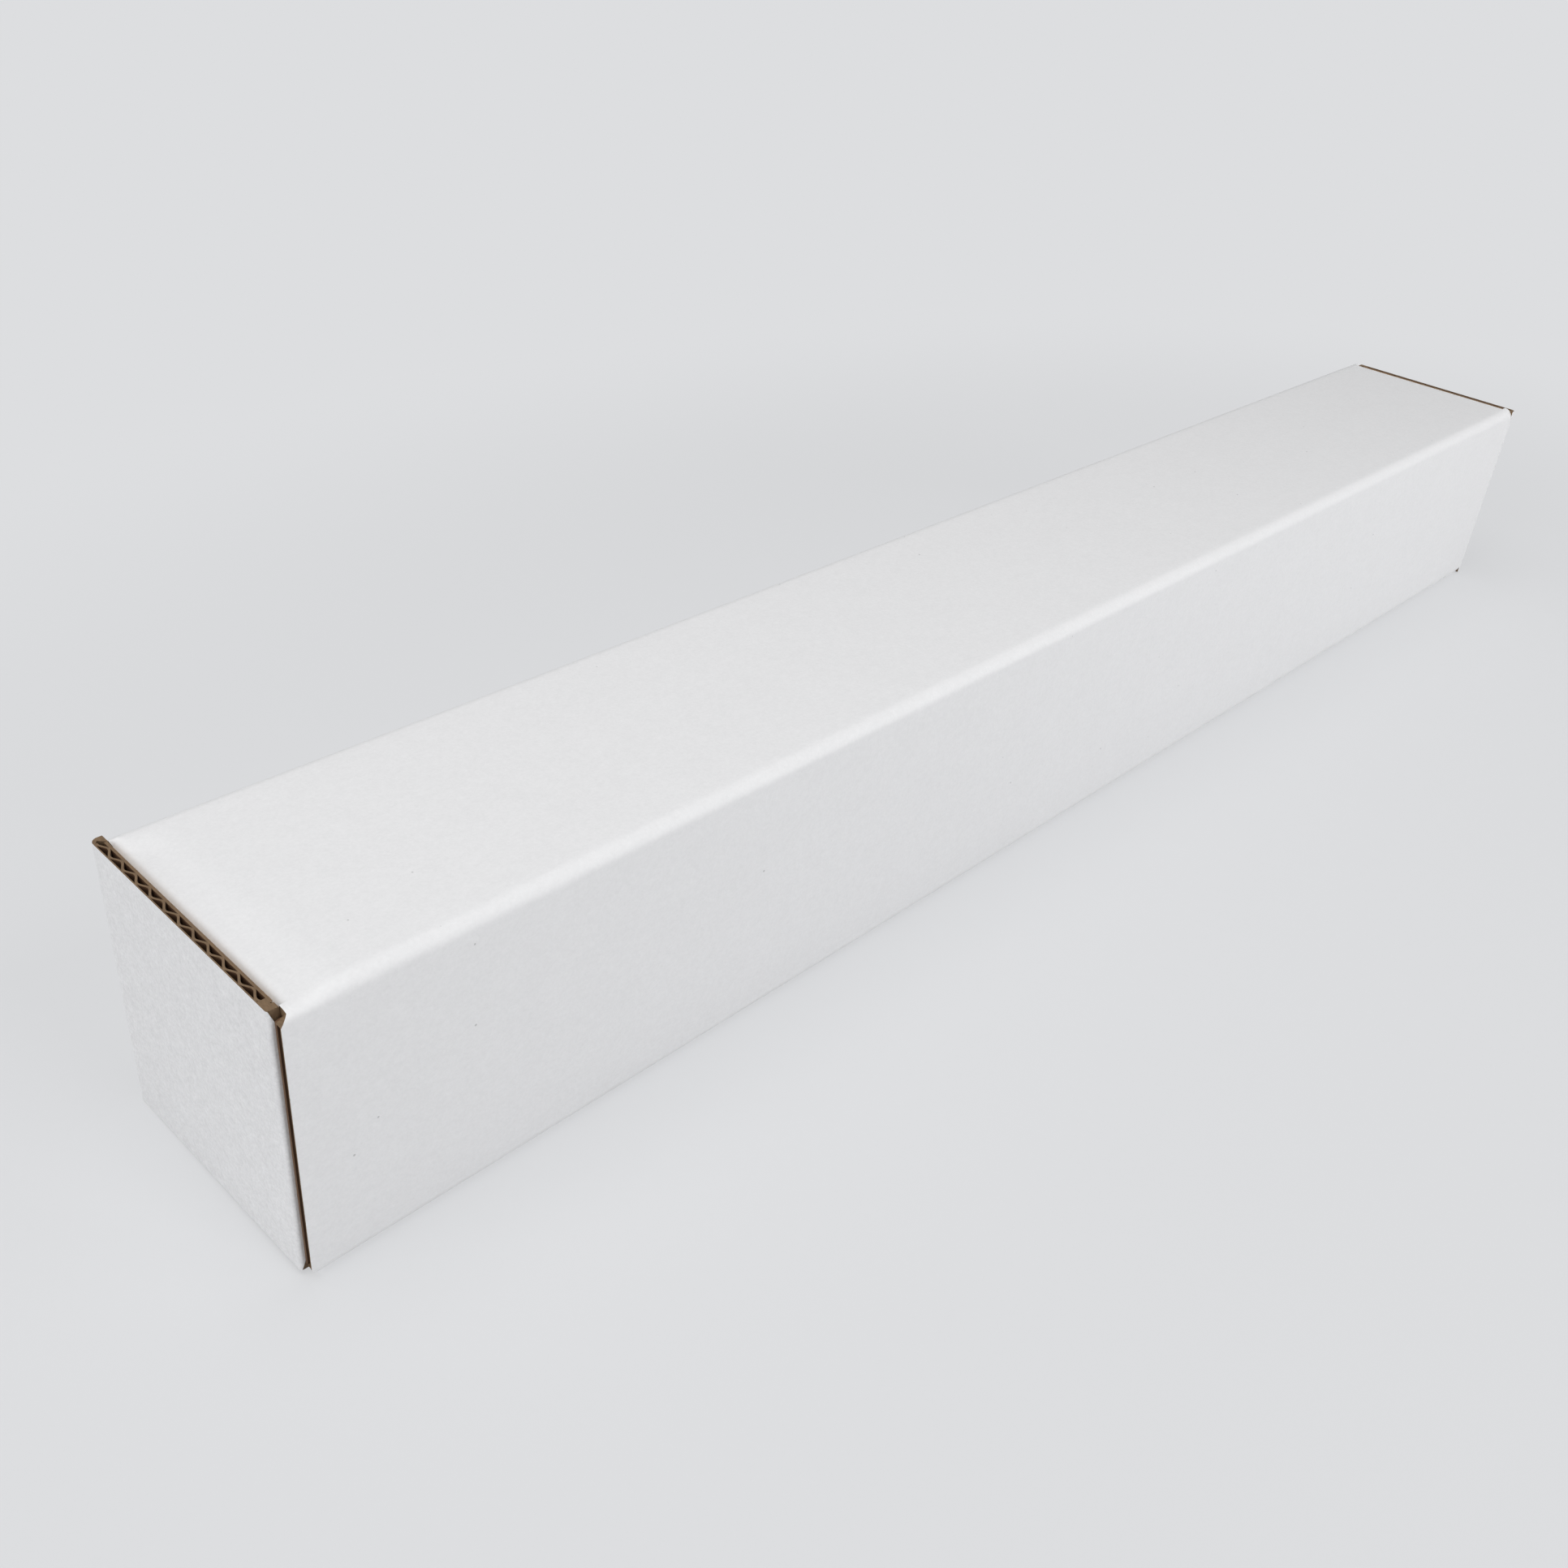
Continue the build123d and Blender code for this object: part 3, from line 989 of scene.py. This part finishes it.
class MESH_OT_tube_hinges(bpy.types.Operator):
    """Add the board beside each end flap's hinge, and the white liner that bends as the hinge"""

    bl_idname = "mesh.mailing_tube_hinges"
    bl_label = "Hinges"

    def execute(self, context):
        plan = board_plan()
        papers = flap_papers()
        face, t, r = plan.half_width, plan.thickness, plan.hinge_fold
        white, stop = plan.outer_liner, plan.panel_stop
        arc = r * QUARTER

        # Sections of the crushed board, on the wall and on the flap, which part along a slant from the
        # inside corner to the middle of the crease
        crease = r - (r - white) * cos(pi / 4)
        wall_section = [
            (stop, face - t), (stop, face - white), (r, face - white),
            (1.35, face - 0.43), (crease, face - crease), (t, face - t),
        ]
        root_section = [
            (white, face - 2.3), (white, face - r), (0.43, face - 1.35),
            (crease, face - crease), (1.25, face - 1.25), (0.65, face - 2.15),
        ]
        for end, turned, sink in (("near", False, 0), ("far", True, plan.far_sink)):
            flap = f"{end}_flap"
            wall = upright_board(wall_section, plan, sink)
            finish_layer(wall, f"{end}_hinge_wall", "tube", papers, turned)
            root = upright_board(root_section, plan, sink)
            finish_layer(root, f"{end}_hinge_root", flap, papers, turned)

            # White liner: a short land on the wall, the bend, and a short land on the flap
            half = plan.height / 2 - plan.hinge_gap - sink
            liner = paper_sheet((-(stop - r), -half), (arc + plan.hinge_land, half), 0)
            score(liner, [arc * k / QUARTER_FOLD for k in range(QUARTER_FOLD + 1)], (1, 0, 0))
            give_thickness(liner, white, "white", "kraft", "cut")
            reach = {v: v.co.x for v in liner.verts}
            bend(liner, reach, r, QUARTER, Vector((0, 0, 0)), Vector((1, 0, 0)))
            place = Matrix((
                (-1, 0, 0, r - plan.end),
                (0, 0, -1, face),
                (0, -1, 0, plan.height / 2),
                (0, 0, 0, 1),
            ))
            bmesh.ops.transform(liner, matrix=place, verts=liner.verts[:])
            bending = finish_layer(liner, f"{end}_hinge_liner", None, papers, turned)
            # From the flap to the tube: in this order the crease also turns outwards at a half turn
            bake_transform(bending)
        return {"FINISHED"}


# Stage


def backdrop_rays(tree):
    """1 for rays that show the plain colour of the studio: from the camera, or by way of gloss or glass."""
    rays = add_node(tree, "ShaderNodeLightPath")
    seen = rays.outputs["Is Camera Ray"]
    for kind in ("Is Glossy Ray", "Is Transmission Ray"):
        seen = add_node(
            tree, "ShaderNodeMath", {"operation": "ADD", "use_clamp": True},
            {0: seen, 1: rays.outputs[kind]},
        ).outputs[0]
    return seen


def studio_floor(name, colour):
    """Matt studio table: keeps a soft shadow near the object and runs into the background further out."""
    material, tree = empty_material(name)
    table = add_node(tree, "ShaderNodeBsdfDiffuse", inputs={"Color": (*colour, 1)})
    glow = add_node(tree, "ShaderNodeEmission", inputs={"Color": (*colour, 1), "Strength": 1.0})
    place = add_node(tree, "ShaderNodeTexCoord").outputs["Object"]
    stretched = add_node(tree, "ShaderNodeMapping", {}, {"Vector": place, "Scale": (1.0, 1.6, 1.0)})
    distance = add_node(
        tree, "ShaderNodeVectorMath", {"operation": "LENGTH"}, {0: stretched.outputs[0]}
    )
    away = add_node(
        tree, "ShaderNodeMapRange", {"interpolation_type": "SMOOTHSTEP"},
        {
            "Value": distance.outputs["Value"], "From Min": 0.36, "From Max": 0.75,
            "To Min": 0.72, "To Max": 1.0,
        },
    )
    share = overlay(tree, away.outputs[0], backdrop_rays(tree))
    mixed = add_node(
        tree, "ShaderNodeMixShader", inputs={0: share, 1: table.outputs[0], 2: glow.outputs[0]}
    )
    add_node(tree, "ShaderNodeOutputMaterial", inputs={"Surface": mixed.outputs[0]})
    return material


def add_floor(scene, colour):
    """Floor of 12 by 12 metres under the tube."""
    half_side = 6
    bm = bmesh.new()
    bmesh.ops.create_grid(bm, x_segments=1, y_segments=1, size=half_side)
    mesh = bpy.data.meshes.new("studio_floor")
    bm.to_mesh(mesh)
    bm.free()
    mesh.materials.append(studio_floor("matt_studio_table", colour))
    floor = bpy.data.objects.new("studio_floor", mesh)
    scene.collection.objects.link(floor)


def add_world(scene, colour):
    """Weak white light from all round, behind a pale backdrop."""
    world = bpy.data.worlds.new("pale_studio")
    world.use_nodes = True
    tree = world.node_tree
    tree.nodes.clear()
    seen = backdrop_rays(tree)
    air = add_node(tree, "ShaderNodeBackground", inputs={"Color": (1, 1, 1, 1), "Strength": 0.22})
    backdrop = add_node(tree, "ShaderNodeBackground", inputs={"Color": (*colour, 1), "Strength": 1.0})
    mixed = add_node(
        tree, "ShaderNodeMixShader", inputs={0: seen, 1: air.outputs[0], 2: backdrop.outputs[0]}
    )
    add_node(tree, "ShaderNodeOutputWorld", inputs={"Surface": mixed.outputs[0]})
    scene.world = world


def add_lamps(scene):
    """Large softboxes: place, what they point at, size and power."""
    lamps = {
        "overhead_softbox": ((-0.45, 0.1, 1.5), (-0.2, 0, 0.08), 1.0, 10.5),
        "key_softbox": ((-0.1, -1.0, 1.05), (0, 0, 0.05), 0.4, 4.4),
        "side_softbox": ((1.0, -1.4, 0.4), (0.25, 0, 0.04), 0.8, 10.4),
        "end_softbox": ((-1.7, 0.1, 0.6), (-0.3, 0, 0.04), 1.0, 8.6),
    }
    for name, (place, target, size, power) in lamps.items():
        lamp = bpy.data.lights.new(name, "AREA")
        lamp.shape = "SQUARE"
        lamp.size = size
        lamp.energy = power
        holder = bpy.data.objects.new(name, lamp)
        holder.location = place
        aim = Vector(target) - Vector(place)
        holder.rotation_euler = aim.to_track_quat("-Z", "Y").to_euler()
        scene.collection.objects.link(holder)


def add_camera(scene):
    """Camera at the photograph's viewing angle, above the near end."""
    camera = bpy.data.cameras.new("camera")
    camera.lens = 35.84
    camera.sensor_width = 36
    camera.clip_start, camera.clip_end = 0.01, 50
    eye = (-0.43805, -0.27470, 0.30954)
    right = (0.69400, -0.71559, 0.07940)
    up = (0.34656, 0.42867, 0.83435)
    back = (-0.63108, -0.55152, 0.54549)
    holder = bpy.data.objects.new("camera", camera)
    holder.matrix_world = Matrix.Translation(eye) @ Matrix((right, up, back)).transposed().to_4x4()
    scene.collection.objects.link(holder)
    scene.camera = holder


class SCENE_OT_tube_stage(bpy.types.Operator):
    """Add the floor, the soft lights, the pale background and the camera"""

    bl_idname = "scene.mailing_tube_stage"
    bl_label = "Stage"

    def execute(self, context):
        scene = context.scene
        studio = tuple(scene.mailing_tube_colours.studio)
        add_floor(scene, studio)
        add_world(scene, studio)
        add_lamps(scene)
        add_camera(scene)
        scene.view_settings.view_transform = "Standard"
        return {"FINISHED"}


class VIEW3D_PT_mailing_tube(bpy.types.Panel):
    """Sizes, colours and building steps of the mailing tube"""

    bl_label = "Mailing Tube"
    bl_space_type = "VIEW_3D"
    bl_region_type = "UI"
    bl_category = "Mailing Tube"

    def draw(self, context):
        layout = self.layout
        for group in (context.scene.mailing_tube_board, context.scene.mailing_tube_colours):
            box = layout.box()
            for name in group.__annotations__:
                box.prop(group, name)
        for step in BUILD_STEPS:
            layout.operator(step.bl_idname)


BUILD_STEPS = (
    MESH_OT_tube_body_liners,
    MESH_OT_tube_body_fluting,
    MESH_OT_tube_end_flaps,
    MESH_OT_tube_hinges,
    SCENE_OT_tube_stage,
)
CLASSES = (MailingTubeBoard, MailingTubeColours, *BUILD_STEPS, VIEW3D_PT_mailing_tube)


def register():
    for cls in CLASSES:
        bpy.utils.register_class(cls)
    bpy.types.Scene.mailing_tube_board = bpy.props.PointerProperty(type=MailingTubeBoard)
    bpy.types.Scene.mailing_tube_colours = bpy.props.PointerProperty(type=MailingTubeColours)


def unregister():
    del bpy.types.Scene.mailing_tube_colours
    del bpy.types.Scene.mailing_tube_board
    for cls in reversed(CLASSES):
        bpy.utils.unregister_class(cls)


def main():
    register()
    bpy.ops.mesh.mailing_tube_body_liners()
    bpy.ops.mesh.mailing_tube_body_fluting()
    bpy.ops.mesh.mailing_tube_end_flaps()
    bpy.ops.mesh.mailing_tube_hinges()
    bpy.ops.scene.mailing_tube_stage()


if __name__ == "__main__":
    main()
